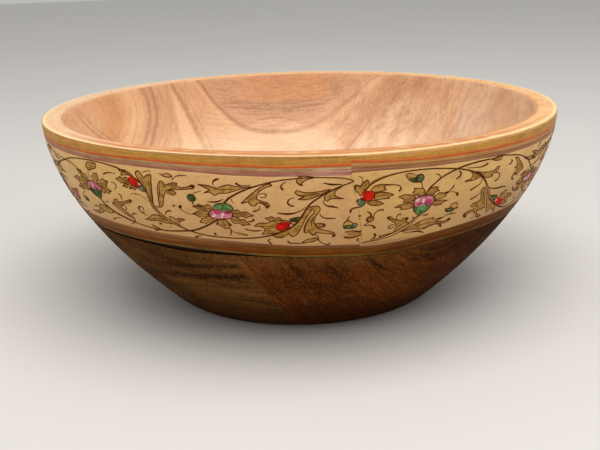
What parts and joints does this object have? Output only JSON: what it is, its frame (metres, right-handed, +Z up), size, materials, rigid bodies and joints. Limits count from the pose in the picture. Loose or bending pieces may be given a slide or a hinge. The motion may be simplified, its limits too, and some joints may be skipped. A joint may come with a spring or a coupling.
{
  "type": "wooden salad bowl",
  "caption": "Wide turned wooden salad bowl with a flat foot, conical-round sides, flat rim and a painted cream band with coloured lines below the rim.",
  "frame": {"origin": "centre of the flat underside of the foot, on the surface that the bowl stands on", "axes": "+Z up along the bowl's turning axis, out of its mouth; -Y is the side that the picture shows, +X is the picture's right"},
  "size_m": [0.3002, 0.3002, 0.111],
  "materials": {
    "turned_wood": "warm brown hardwood, satin inside and varnished outside",
    "gold_paint": "ochre-gold paint under clear varnish",
    "red_paint": "thin orange-red painted line under clear varnish",
    "grey_green_paint": "thin grey-green painted line under clear varnish",
    "mauve_paint": "dull mauve painted line under clear varnish",
    "brown_paint": "brown painted line under clear varnish",
    "cream_paint": "warm cream lacquer ground with a painted vine, under clear varnish"
  },
  "bodies": {
    "root": {"bowl_body": "turned_wood", "gold_rim_stripe": "gold_paint", "upper_red_line": "red_paint", "upper_grey_line": "grey_green_paint", "upper_mauve_line": "mauve_paint", "cream_band": "cream_paint", "lower_mauve_line": "mauve_paint", "lower_brown_line": "brown_paint", "lower_red_line": "red_paint", "lower_green_line": "grey_green_paint"}
  },
  "joints": []
}
